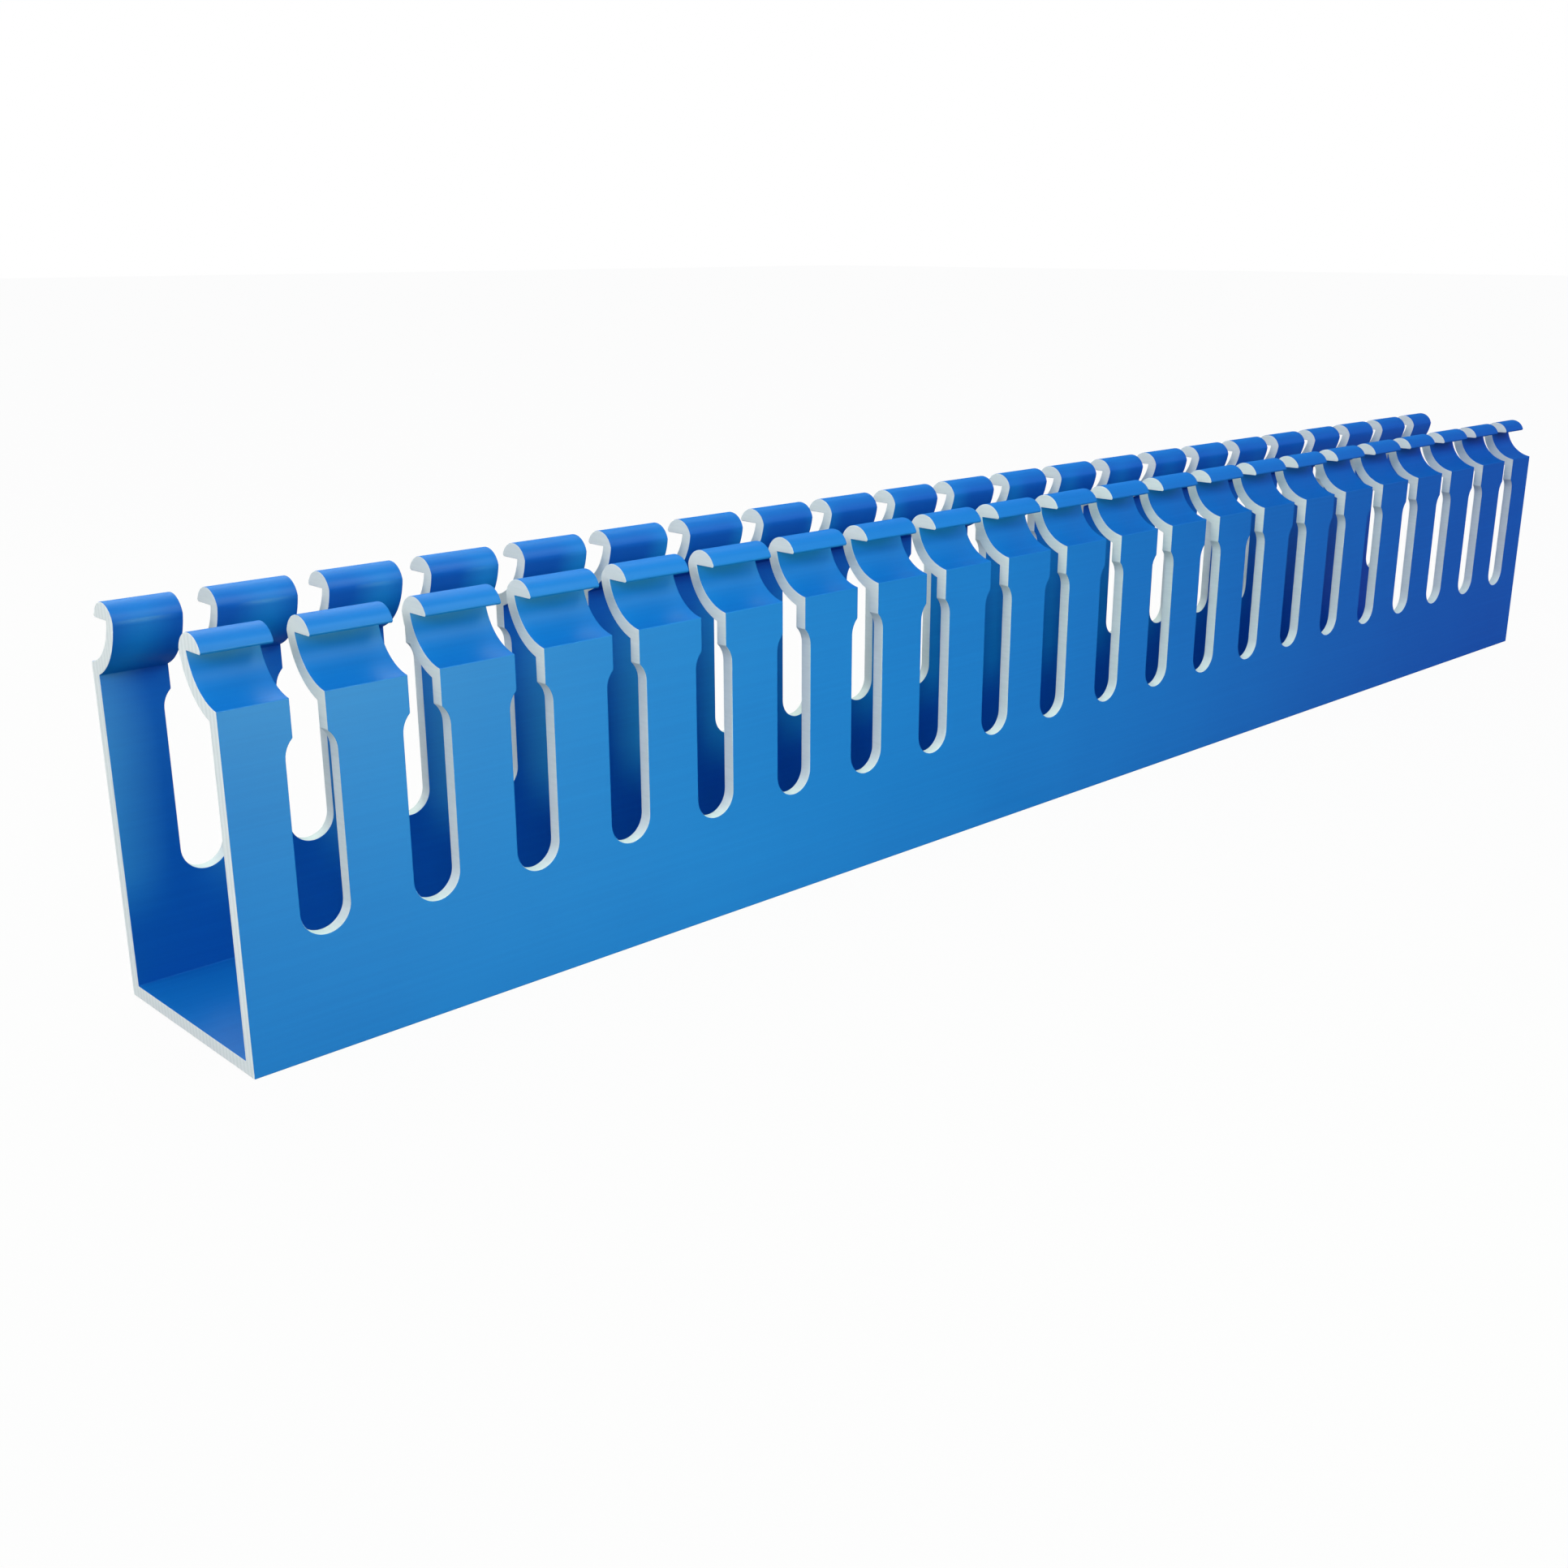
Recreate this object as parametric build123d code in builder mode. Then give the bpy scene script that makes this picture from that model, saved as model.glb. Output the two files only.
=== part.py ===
"""Slotted wire duct, nominal 30 x 50: one length of extruded channel with punched side walls.

Frame: millimetres, +Z up, origin under the middle of the base, X along the length, Y across.
The channel is one piece of rigid PVC. Its section is extruded, then slots that are open at the
top are punched through both side walls. What is left between two slots is a finger, and the
row of finger heads on each wall is the rail that a cover clips onto.
"""

import os
from math import sqrt

from build123d import *

# Channel
length = 300.0
width = 30.0  # over the outer faces of the side walls
height = 48.0  # to the crown of the finger heads, without a cover
wall_thickness = 1.7  # side walls and the curl of the fingers
base_thickness = 1.65  # floor of the channel

# Curl and head of the fingers
curl_radius = 6.45  # hollow, outer side of the curl
curl_centre_outset = 1.0  # from the outer face of the wall out to the centre of the curl
curl_centre_lift = 1.0  # from the flat underside of the head up to the centre of the curl
head_width = 5.0  # from the tip of the hook to the mouth of the channel
head_thickness = 2.0  # from the flat underside to the crown
tip_chamfer = 0.25  # blunt tip of the hook

# Slots in the side walls
slot_pitch = 14.0
slot_width = 6.0
neck_width = 4.0  # open upper end of a slot, between two fingers
slot_bottom_height = 14.0  # from the underside of the channel to the rounded end of a slot
slot_top_drop = 3.5  # from the shoulder of the wall down to the rounded top of a slot
slot_end_margin = 10.0  # least distance from an end of the channel to a slot's centre line

# Fixing slots in the base
fixing_pitch = 50.0
fixing_slot_width = 4.5
fixing_slot_length = 10.0  # end to end
fixing_end_margin = 25.0  # least distance from an end of the channel to a fixing slot's centre

# Places on the section that follow from the sizes above: heights, and insets from the outer
# face of the wall towards the middle of the channel
head_underside = height - head_thickness
curl_centre_height = head_underside + curl_centre_lift
bulge_radius = curl_radius + wall_thickness
shoulder_height = curl_centre_height - sqrt(curl_radius**2 - curl_centre_outset**2)
bulge_start_reach = curl_centre_outset + wall_thickness
bulge_start_height = curl_centre_height - sqrt(bulge_radius**2 - bulge_start_reach**2)
curl_end_inset = sqrt(curl_radius**2 - curl_centre_lift**2) - curl_centre_outset
mouth_inset = sqrt(bulge_radius**2 - curl_centre_lift**2) - curl_centre_outset
hook_inset = mouth_inset - head_width
crown_inset = mouth_inset - head_width / 2

# Slots that follow from the sizes above
slot_top_height = shoulder_height - slot_top_drop
slot_height = slot_top_height - slot_bottom_height
slot_centre_height = (slot_top_height + slot_bottom_height) / 2
slot_count = int((length - 2 * slot_end_margin) // slot_pitch) + 1
fixing_count = int((length - 2 * fixing_end_margin) // fixing_pitch) + 1


def wall_point(inset, up):
    """Point on the section of the wall at -Y, inset from its outer face."""
    return (inset - width / 2, up)


with BuildPart() as duct_channel:
    # U section with a curled and hooked top on both walls, drawn as one half and mirrored
    with BuildSketch(Plane.YZ) as section:
        with BuildLine():
            underside = Line((0, 0), wall_point(0, 0))
            outer_face = Line(underside @ 1, wall_point(0, shoulder_height))
            curl_end = wall_point(curl_end_inset, head_underside)
            curl = RadiusArc(outer_face @ 1, curl_end, -curl_radius)  # hollow towards the outside
            hook_tip = wall_point(hook_inset, head_underside)
            hook_underside = Line(curl @ 1, hook_tip)
            crown = wall_point(crown_inset, height)
            mouth_edge = wall_point(mouth_inset, head_underside)
            head = ThreePointArc(hook_tip, crown, mouth_edge)
            bulge_start = wall_point(wall_thickness, bulge_start_height)
            bulge = RadiusArc(mouth_edge, bulge_start, bulge_radius)  # round the same centre
            inner_face = Line(bulge_start, wall_point(wall_thickness, base_thickness))
            floor = Line(inner_face @ 1, (0, base_thickness))
            mirror(about=Plane.YZ)
        make_face()
        other_hook_tip = (-hook_tip[0], hook_tip[1])
        tips = [section.vertices().sort_by_distance(tip)[0] for tip in (hook_tip, other_hook_tip)]
        chamfer(tips, length=tip_chamfer)
    extrude(amount=length / 2, both=True)

    # One row of slots, punched straight through both walls and open at the top
    with BuildSketch(Plane.XZ) as wall_slots:
        with GridLocations(slot_pitch, 0, slot_count, 1):
            with Locations((0, slot_centre_height)):
                SlotOverall(slot_height, slot_width, rotation=90)
            with Locations((0, slot_centre_height)):
                neck_height = height - slot_centre_height
                Rectangle(neck_width, neck_height, align=(Align.CENTER, Align.MIN))
    extrude(amount=width / 2, both=True, mode=Mode.SUBTRACT)

    # One row of fixing slots along the middle of the base
    with BuildSketch(Plane.XY) as fixing_slots:
        with GridLocations(fixing_pitch, 0, fixing_count, 1):
            SlotOverall(fixing_slot_length, fixing_slot_width)
    extrude(amount=base_thickness, mode=Mode.SUBTRACT)

os.makedirs("parts", exist_ok=True)
duct_channel.part.label = "duct_channel"
export_step(duct_channel.part, "parts/duct_channel.step")

print("slots in each wall", slot_count, "fixing slots", fixing_count)
print("shoulder", round(shoulder_height, 3), "mouth", round(width - 2 * mouth_inset, 3))
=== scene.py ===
"""Slotted wire duct on a pale studio floor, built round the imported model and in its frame."""

from math import asin, atan2, cos, pi, radians, sin, sqrt

import bmesh
import bpy
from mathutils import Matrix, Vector


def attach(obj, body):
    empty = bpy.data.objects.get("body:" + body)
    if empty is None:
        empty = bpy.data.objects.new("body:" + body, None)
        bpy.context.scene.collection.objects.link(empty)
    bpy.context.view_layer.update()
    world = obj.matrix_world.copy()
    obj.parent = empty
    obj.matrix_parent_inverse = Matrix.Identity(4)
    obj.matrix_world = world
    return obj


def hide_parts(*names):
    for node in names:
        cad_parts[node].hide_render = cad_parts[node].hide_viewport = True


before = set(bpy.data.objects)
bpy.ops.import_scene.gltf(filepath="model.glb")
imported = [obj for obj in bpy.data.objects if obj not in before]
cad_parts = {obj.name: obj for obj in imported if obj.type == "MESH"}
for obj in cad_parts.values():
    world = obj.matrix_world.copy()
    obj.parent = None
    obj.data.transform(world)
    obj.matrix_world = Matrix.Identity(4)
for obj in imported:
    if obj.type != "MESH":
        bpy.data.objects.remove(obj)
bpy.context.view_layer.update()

# Duct channel
# The real piece is one length of rigid PVC, extruded as a U with curled and hooked edges. Slots
# are then punched through both walls and the base, and the length is sawn square at both ends.
# Sizes are in millimetres, with the names that the part's source gives them.
length = 300.0
width = 30.0
height = 48.0
wall_thickness = 1.7
base_thickness = 1.65
curl_radius = 6.45
curl_centre = (-1.0, 47.0)  # inset from the outer face of the wall, and height
head_width = 5.0
head_thickness = 2.0
tip_chamfer = 0.25
slot_pitch = 14.0
slot_radius = 3.0
slot_count = 21
neck_width = 4.0
slot_bottom_height = 14.0
slot_top_drop = 3.5
fixing_pitch = 50.0
fixing_count = 6
fixing_slot_radius = 2.25
fixing_slot_length = 10.0
edge_radius = 0.1  # how blunt the edges of a new piece are
crease_angle = radians(25)  # edges sharper than this are creases, and are blunted
weld_distance = 1e-6  # in metres

half_length = length / 2
outer_half = width / 2
inner_half = outer_half - wall_thickness
bulge_radius = curl_radius + wall_thickness
head_underside = height - head_thickness


def arc(centre, radius, start, stop, steps):
    """Points on an arc from one angle to another, both ends included."""
    angles = [start + (stop - start) * n / steps for n in range(steps + 1)]
    return [(centre[0] + radius * cos(a), centre[1] + radius * sin(a)) for a in angles]


def angle_at(point, centre):
    """Direction from the centre of an arc to a point on it."""
    return atan2(point[1] - centre[1], point[0] - centre[0])


def evenly_spaced(count, pitch):
    """Places along the duct, spaced by the pitch and centred on its middle."""
    return [(n - (count - 1) / 2) * pitch for n in range(count)]


# Corners of the section of a wall, each as its inset from the outer face and its height
curl_lift = curl_centre[1] - head_underside
bulge_reach = wall_thickness - curl_centre[0]
shoulder = (0.0, curl_centre[1] - sqrt(curl_radius**2 - curl_centre[0] ** 2))
curl_end = (curl_centre[0] + sqrt(curl_radius**2 - curl_lift**2), head_underside)
bulge_start = (wall_thickness, curl_centre[1] - sqrt(bulge_radius**2 - bulge_reach**2))
mouth_edge = (curl_centre[0] + sqrt(bulge_radius**2 - curl_lift**2), head_underside)
hook_tip = (mouth_edge[0] - head_width, head_underside)

# Steps of the arcs, enough that no flat shows in the render
bend_steps = 18
mouth_side_steps = 12
hook_side_steps = 11
slot_bottom_steps = 12
slot_top_steps = 6
fixing_round_steps = 24

curl_angles = [angle_at(corner, curl_centre) for corner in (shoulder, curl_end)]
curl = arc(curl_centre, curl_radius, *curl_angles, bend_steps)
bulge_angles = [angle_at(corner, curl_centre) for corner in (bulge_start, mouth_edge)]
bulge = arc(curl_centre, bulge_radius, *bulge_angles, bend_steps)

# Outline of a head, from the mouth of the channel over the crown to the hook and back under it
crown_radius = ((head_width / 2) ** 2 + head_thickness**2) / (2 * head_thickness)
crown_centre = (mouth_edge[0] - head_width / 2, height - crown_radius)
blunt_angle = angle_at(hook_tip, crown_centre) - tip_chamfer / crown_radius
mouth_angle = angle_at(mouth_edge, crown_centre)
head = arc(crown_centre, crown_radius, mouth_angle, pi / 2, mouth_side_steps)
head += arc(crown_centre, crown_radius, pi / 2, blunt_angle, hook_side_steps)[1:]
head += [(hook_tip[0] + tip_chamfer, head_underside), curl_end]

# Stations up the side of a finger: half the slot's width there, then the points of the section
# on the outer and the inner surface
OUTER, INNER = 1, 2
slot_top_height = shoulder[1] - slot_top_drop
neck_angle = pi / 2 - asin(neck_width / 2 / slot_radius)
bottom_centre = (0, slot_bottom_height + slot_radius)
bottom_arc = arc(bottom_centre, slot_radius, -pi / 2, 0, slot_bottom_steps)
top_centre = (0, slot_top_height - slot_radius)
top_arc = arc(top_centre, slot_radius, 0, neck_angle, slot_top_steps)
foot = (0.0, (0.0, 0.0), (wall_thickness, base_thickness))
slot_bottom = [(half, (0.0, up), (wall_thickness, up)) for half, up in bottom_arc]
slot_top = [(half, (0.0, up), (wall_thickness, up)) for half, up in top_arc]
bend = [(neck_width / 2, outer, inner) for outer, inner in zip(curl, bulge)]
upper = [slot_bottom[-1], *slot_top, *bend]
head_rim = [(neck_width / 2, point, point) for point in head]

slot_places = evenly_spaced(slot_count, slot_pitch)
SKIN, PUNCHED, SAWN = range(3)
shape = bmesh.new()


def add_face(points, finish):
    """One flat face through points in millimetres."""
    corners = [shape.verts.new([c / 1000 for c in point]) for point in points]
    shape.faces.new(corners).material_index = finish


def add_finger(side, left_slot, right_slot):
    """One finger and the wall under it, between two slots, or between a slot and a sawn end."""

    def left(station, surface):
        """The left end of a station, on one surface of the wall."""
        x = -half_length if left_slot is None else left_slot + station[0]
        return (x, side * (outer_half - station[surface][0]), station[surface][1])

    def right(station, surface):
        """The right end of a station, on one surface of the wall."""
        x = half_length if right_slot is None else right_slot - station[0]
        return (x, side * (outer_half - station[surface][0]), station[surface][1])

    def add_strips(stations, surface):
        """Faces across the finger, from each station to the next."""
        for here, onward in zip(stations, stations[1:]):
            low_pair = [left(here, surface), right(here, surface)]
            add_face(low_pair + [right(onward, surface), left(onward, surface)], SKIN)

    left_low = slot_bottom[-1:] if left_slot is None else slot_bottom
    right_low = slot_bottom[-1:] if right_slot is None else slot_bottom
    for surface in (OUTER, INNER):
        rim = [right(station, surface) for station in [foot, *right_low]]
        rim += [left(station, surface) for station in reversed([foot, *left_low])]
        add_face(rim, SKIN)
        add_strips(upper, surface)
    add_strips(head_rim, OUTER)

    for cut, slot, low in ((left, left_slot, left_low), (right, right_slot, right_low)):
        finish, stations = (SAWN, [foot, *upper]) if slot is None else (PUNCHED, [*low, *upper[1:]])
        for here, onward in zip(stations, stations[1:]):
            low_pair = [cut(here, OUTER), cut(here, INNER)]
            add_face(low_pair + [cut(onward, INNER), cut(onward, OUTER)], finish)
        add_face([cut(station, OUTER) for station in head_rim], finish)


wall_feet = [-half_length, *slot_places, half_length]
fixing_run = fixing_slot_length / 2 - fixing_slot_radius
right_round = ((fixing_run, 0), fixing_slot_radius, -pi / 2, pi / 2)
left_round = ((-fixing_run, 0), fixing_slot_radius, pi / 2, 3 * pi / 2)
fixing_slot = arc(*right_round, fixing_round_steps) + arc(*left_round, fixing_round_steps)
fixing_rings = [
    [(place + x, y) for x, y in fixing_slot] for place in evenly_spaced(fixing_count, fixing_pitch)
]


def add_base_side(half, up):
    """Underside or floor of the base, filled in round the fixing slots."""
    outline = [(x, -half) for x in wall_feet] + [(x, half) for x in reversed(wall_feet)]
    edges = []
    for ring in [outline, *fixing_rings]:
        corners = [shape.verts.new((x / 1000, y / 1000, up / 1000)) for x, y in ring]
        edges += [shape.edges.new(pair) for pair in zip(corners, corners[1:] + corners[:1])]
    bmesh.ops.triangle_fill(shape, edges=edges, use_beauty=True, normal=(0, 0, 1))


for up, half in ((0.0, outer_half), (base_thickness, inner_half)):
    add_base_side(half, up)
for ring in fixing_rings:
    for (x, y), (next_x, next_y) in zip(ring, ring[1:] + ring[:1]):
        low_pair = [(x, y, 0), (next_x, next_y, 0)]
        add_face(low_pair + [(next_x, next_y, base_thickness), (x, y, base_thickness)], PUNCHED)

for side in (-1, 1):
    for left_slot, right_slot in zip([None, *slot_places], [*slot_places, None]):
        add_finger(side, left_slot, right_slot)
for x in (-half_length, half_length):
    foot_pair = [(x, -outer_half, 0), (x, outer_half, 0)]
    add_face(foot_pair + [(x, inner_half, base_thickness), (x, -inner_half, base_thickness)], SAWN)

bmesh.ops.remove_doubles(shape, verts=shape.verts, dist=weld_distance)
bmesh.ops.recalc_face_normals(shape, faces=shape.faces)
duct_mesh = bpy.data.meshes.new("duct_channel_dressed")
shape.to_mesh(duct_mesh)
shape.free()
duct_mesh.shade_smooth()
duct_mesh.set_sharp_from_angle(angle=crease_angle)

duct = bpy.data.objects.new("duct_channel_dressed", duct_mesh)
bpy.context.scene.collection.objects.link(duct)
blunt_edges = duct.modifiers.new("blunt edges", "BEVEL")
blunt_edges.limit_method = "ANGLE"
blunt_edges.angle_limit = crease_angle
blunt_edges.width = edge_radius / 1000
blunt_edges.segments = 2
blunt_edges.harden_normals = True
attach(duct, "root")
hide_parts("duct_channel")


# Sockets of a mix node that carry colours: its two inputs and its output
FIRST, SECOND, MIXED = 6, 7, 2


def linear(colour):
    """Linear red, green, blue and alpha of an sRGB hex colour."""
    parts = [int(colour[n : n + 2], 16) / 255 for n in (1, 3, 5)]
    return [p / 12.92 if p <= 0.04045 else ((p + 0.055) / 1.055) ** 2.4 for p in parts] + [1.0]


def add_node(tree, kind, settings, links):
    """A node with its properties and input values set, and with its inputs linked to other nodes."""
    node = tree.nodes.new(kind)
    for name, value in settings.items():
        if isinstance(name, str) and hasattr(node, name):
            setattr(node, name, value)
        else:
            node.inputs[name].default_value = value
    for name, (source, output) in links.items():
        tree.links.new(source.outputs[output], node.inputs[name])
    return node


def new_material(name):
    """An empty node material, with its output and the object's coordinates in millimetres."""
    material = bpy.data.materials.new(name)
    material.use_nodes = True
    tree = material.node_tree
    tree.nodes.clear()
    output = tree.nodes.new("ShaderNodeOutputMaterial")
    place = add_node(tree, "ShaderNodeTexCoord", {}, {})
    mm = add_node(
        tree, "ShaderNodeVectorMath", {"operation": "SCALE", "Scale": 1000.0}, {0: (place, "Object")}
    )
    return material, tree, output, mm


# Skin of the extrusion: rigid PVC, pushed through the die and cooled. It gives the eye an even
# satin blue, with faint lines along the duct where the edge of the die drew on it. Its sheen is
# about the same from every angle, so it comes from a weak coat with a high index, and not from
# the plastic's own reflection, which would whiten the far end of the wall.
die_line_length = 60.0
die_line_width = 0.5  # finer on the real piece, drawn this coarse to show
cloud_size = 18.0

skin, tree, output, mm = new_material("rigid PVC, extruded skin")
drawn = {"Scale": (1 / die_line_length, 1 / die_line_width, 1 / die_line_width)}
along = add_node(tree, "ShaderNodeMapping", drawn, {"Vector": (mm, 0)})
die_lines = add_node(
    tree,
    "ShaderNodeTexNoise",
    {"Scale": 1.0, "Detail": 3.0, "Roughness": 0.6},
    {"Vector": (along, 0)},
)
clouds = add_node(
    tree, "ShaderNodeTexNoise", {"Scale": 1 / cloud_size, "Detail": 2.0}, {"Vector": (mm, 0)}
)
cloudy = add_node(
    tree,
    "ShaderNodeMix",
    {"data_type": "RGBA", FIRST: linear("#065AAB"), SECOND: linear("#0861B2")},
    {0: (clouds, "Fac")},
)
streaks = add_node(
    tree,
    "ShaderNodeMapRange",
    {"From Min": 0.4, "From Max": 0.7, "To Min": 0.0, "To Max": 0.3},
    {"Value": (die_lines, "Fac")},
)
tone = add_node(
    tree,
    "ShaderNodeMix",
    {"data_type": "RGBA", SECOND: linear("#0A66B9")},
    {0: (streaks, 0), FIRST: (cloudy, MIXED)},
)
ridges = add_node(
    tree,
    "ShaderNodeBump",
    {"Strength": 0.06, "Distance": 0.00002},
    {"Height": (die_lines, "Fac")},
)
satin = {
    "Roughness": 0.5,
    "IOR": 1.53,
    "Specular IOR Level": 0.0,
    "Coat Weight": 0.055,
    "Coat Roughness": 0.42,
    "Coat IOR": 4.0,
}
plastic = add_node(
    tree,
    "ShaderNodeBsdfPrincipled",
    satin,
    {"Base Color": (tone, MIXED), "Normal": (ridges, 0), "Coat Normal": (ridges, 0)},
)
tree.links.new(plastic.outputs[0], output.inputs["Surface"])
duct_mesh.materials.append(skin)

# Punched faces: the same PVC, sheared by the punch. They give the eye a pale grey without gloss,
# because shearing whitens and roughens the plastic, with fine lines through the thickness where
# the punch slid by.
shear_line_width = 0.35  # finer on the real piece, drawn this coarse to show
shear_line_length = 4.0

punched, tree, output, mm = new_material("rigid PVC, punched faces")
sheared = {"Scale": (1 / shear_line_width, 1 / shear_line_length, 1 / shear_line_width)}
through = add_node(tree, "ShaderNodeMapping", sheared, {"Vector": (mm, 0)})
shear_lines = add_node(
    tree, "ShaderNodeTexNoise", {"Scale": 1.0, "Detail": 3.0}, {"Vector": (through, 0)}
)
tone = add_node(
    tree,
    "ShaderNodeMix",
    {"data_type": "RGBA", FIRST: linear("#BAC1C7"), SECOND: linear("#C8CDD3")},
    {0: (shear_lines, "Fac")},
)
scores = add_node(
    tree,
    "ShaderNodeBump",
    {"Strength": 0.2, "Distance": 0.00003},
    {"Height": (shear_lines, "Fac")},
)
plastic = add_node(
    tree,
    "ShaderNodeBsdfPrincipled",
    {"IOR": 1.53, "Roughness": 0.6, "Specular IOR Level": 0.0},
    {"Base Color": (tone, MIXED), "Normal": (scores, 0)},
)
tree.links.new(plastic.outputs[0], output.inputs["Surface"])
duct_mesh.materials.append(punched)

# Sawn ends: the same PVC, cut square by a fine circular saw. They give the eye a pale grey with
# close upright tooth marks.
tooth_mark_pitch = 0.8  # finer on the real piece, drawn this coarse to show
wave_period = 0.314  # of the wave texture at a scale of 1

sawn, tree, output, mm = new_material("rigid PVC, sawn ends")
blade = {
    "bands_direction": "Y",
    "Scale": wave_period / tooth_mark_pitch,
    "Distortion": 1.5,
    "Detail": 2.0,
}
tooth_marks = add_node(tree, "ShaderNodeTexWave", blade, {"Vector": (mm, 0)})
tone = add_node(
    tree,
    "ShaderNodeMix",
    {"data_type": "RGBA", FIRST: linear("#CAD1D7"), SECOND: linear("#D5DAE0")},
    {0: (tooth_marks, "Fac")},
)
scores = add_node(
    tree,
    "ShaderNodeBump",
    {"Strength": 0.2, "Distance": 0.00002},
    {"Height": (tooth_marks, "Fac")},
)
plastic = add_node(
    tree,
    "ShaderNodeBsdfPrincipled",
    {"IOR": 1.53, "Roughness": 0.55, "Specular IOR Level": 0.3},
    {"Base Color": (tone, MIXED), "Normal": (scores, 0)},
)
tree.links.new(plastic.outputs[0], output.inputs["Surface"])
duct_mesh.materials.append(sawn)


def add_sight_mask(tree):
    """A value that is 1 for rays that look at a thing, and 0 for rays that gather light from it."""
    ray = add_node(tree, "ShaderNodeLightPath", {}, {})
    mask = (ray, "Is Camera Ray")
    for kind in ("Is Glossy Ray", "Is Transmission Ray"):
        either = add_node(
            tree, "ShaderNodeMath", {"operation": "MAXIMUM"}, {0: mask, 1: (ray, kind)}
        )
        mask = (either, 0)
    return mask


# Studio floor: a wide board in matt, pale paint. Most of what the eye gets from it is a plain
# white, so it runs into the backdrop, and the rest is paint that takes the object's shadow.
floor_reach = 4.0  # in metres, like every place and size from here on
floor_drop = 0.0002
floor_white_share = 0.97

floor_mesh = bpy.data.meshes.new("studio_floor")
floor_corners = [
    (x * floor_reach, y * floor_reach, -floor_drop) for x, y in ((-1, -1), (1, -1), (1, 1), (-1, 1))
]
floor_mesh.from_pydata(floor_corners, [], [(0, 1, 2, 3)])
floor = bpy.data.objects.new("studio_floor", floor_mesh)
bpy.context.scene.collection.objects.link(floor)

paint, tree, output, _ = new_material("matt paint, pale studio floor")
share = add_node(
    tree,
    "ShaderNodeMath",
    {"operation": "MULTIPLY", 1: floor_white_share},
    {0: add_sight_mask(tree)},
)
matt = add_node(tree, "ShaderNodeBsdfDiffuse", {"Color": linear("#8E8E8E")}, {})
white = add_node(tree, "ShaderNodeEmission", {"Strength": 1.0}, {})
mixed = add_node(tree, "ShaderNodeMixShader", {}, {0: (share, 0), 1: (matt, 0), 2: (white, 0)})
tree.links.new(mixed.outputs[0], output.inputs["Surface"])
floor_mesh.materials.append(paint)

# Backdrop: plain white to the eye, and a soft, bluish light from all round on the object
world = bpy.data.worlds.new("studio")
bpy.context.scene.world = world
world.use_nodes = True
tree = world.node_tree
tree.nodes.clear()
output = tree.nodes.new("ShaderNodeOutputWorld")
cool_air = {"Color": (0.43, 0.68, 1.0, 1.0), "Strength": 0.47}
air = add_node(tree, "ShaderNodeBackground", cool_air, {})
plain_white = {"Color": (1.0, 1.0, 1.0, 1.0), "Strength": 1.0}
white = add_node(tree, "ShaderNodeBackground", plain_white, {})
mixed = add_node(
    tree, "ShaderNodeMixShader", {}, {0: add_sight_mask(tree), 1: (air, 0), 2: (white, 0)}
)
tree.links.new(mixed.outputs[0], output.inputs["Surface"])

# Camera: near the left end and a little above the duct, looking along its front wall
camera = bpy.data.objects.new("camera", bpy.data.cameras.new("camera"))
camera.data.lens = 39.23
camera.location = (-0.22248, -0.17255, 0.08546)
camera.rotation_euler = [radians(angle) for angle in (72.284, 0.060, -43.728)]
bpy.context.scene.collection.objects.link(camera)
bpy.context.scene.camera = camera


def add_lamp(name, place, aim, size, power, colour, beam):
    """A square soft box aimed at a point, with the width of its beam in degrees."""
    lamp = bpy.data.objects.new(name, bpy.data.lights.new(name, "AREA"))
    lamp.data.size = size
    lamp.data.energy = power
    lamp.data.color = colour
    lamp.data.spread = radians(beam)
    lamp.location = place
    lamp.rotation_euler = (lamp.location - Vector(aim)).to_track_quat("Z", "Y").to_euler()
    lamp.visible_camera = False
    bpy.context.scene.collection.objects.link(lamp)


# Lamps: wide boxes light the whole duct, and small gridded ones put the sheen on the near end and
# fade towards the far end. The small ones are tinted yellow to yellow-green, and the box on the
# right is nearly all blue, so the wall runs from a mild blue at the near end to a deep one at the
# far end. The narrow, almost white one from the left lifts the far cut faces.
near_end = (-0.14, 0.0, 0.03)
near_wall = (-0.12, -0.015, 0.035)
near_third = (-0.1, 0.0, 0.04)
middle = (0.0, 0.0, 0.02)
far_wall = (0.1, -0.015, 0.03)
add_lamp("front box", (-0.65, -0.65, 0.55), middle, 0.40, 3.3, (0.67, 0.77, 1.0), 180)
add_lamp("rear box", (0.0, 0.65, 0.78), middle, 0.50, 2.7, (0.97, 1.0, 0.79), 180)
add_lamp("left box", (-0.65, 0.0, 0.48), middle, 0.40, 2.3, (1.0, 0.81, 0.48), 180)
add_lamp("left reach", (-0.65, -0.25, 0.35), far_wall, 0.20, 0.105, (0.98, 1.0, 0.95), 40)
add_lamp("right box", (0.57, -0.48, 0.30), middle, 0.30, 1.5, (0.07, 0.16, 1.0), 180)
add_lamp("overhead box", (0.15, 0.20, 0.43), near_third, 0.25, 0.19, (0.90, 1.0, 0.55), 90)
add_lamp("front sheen", (-0.05, -0.24, 0.035), near_wall, 0.06, 0.205, (0.60, 1.0, 0.39), 110)
add_lamp("front high sheen", (0.10, -0.32, 0.38), near_wall, 0.16, 0.16, (0.84, 1.0, 0.55), 90)
add_lamp("rear sheen", (0.01, 0.40, 0.29), near_end, 0.30, 0.58, (0.90, 1.0, 0.78), 90)
add_lamp("near top", (-0.20, 0.0, 0.35), near_end, 0.15, 0.08, (0.90, 1.0, 0.67), 90)

bpy.context.scene.view_settings.view_transform = "Standard"
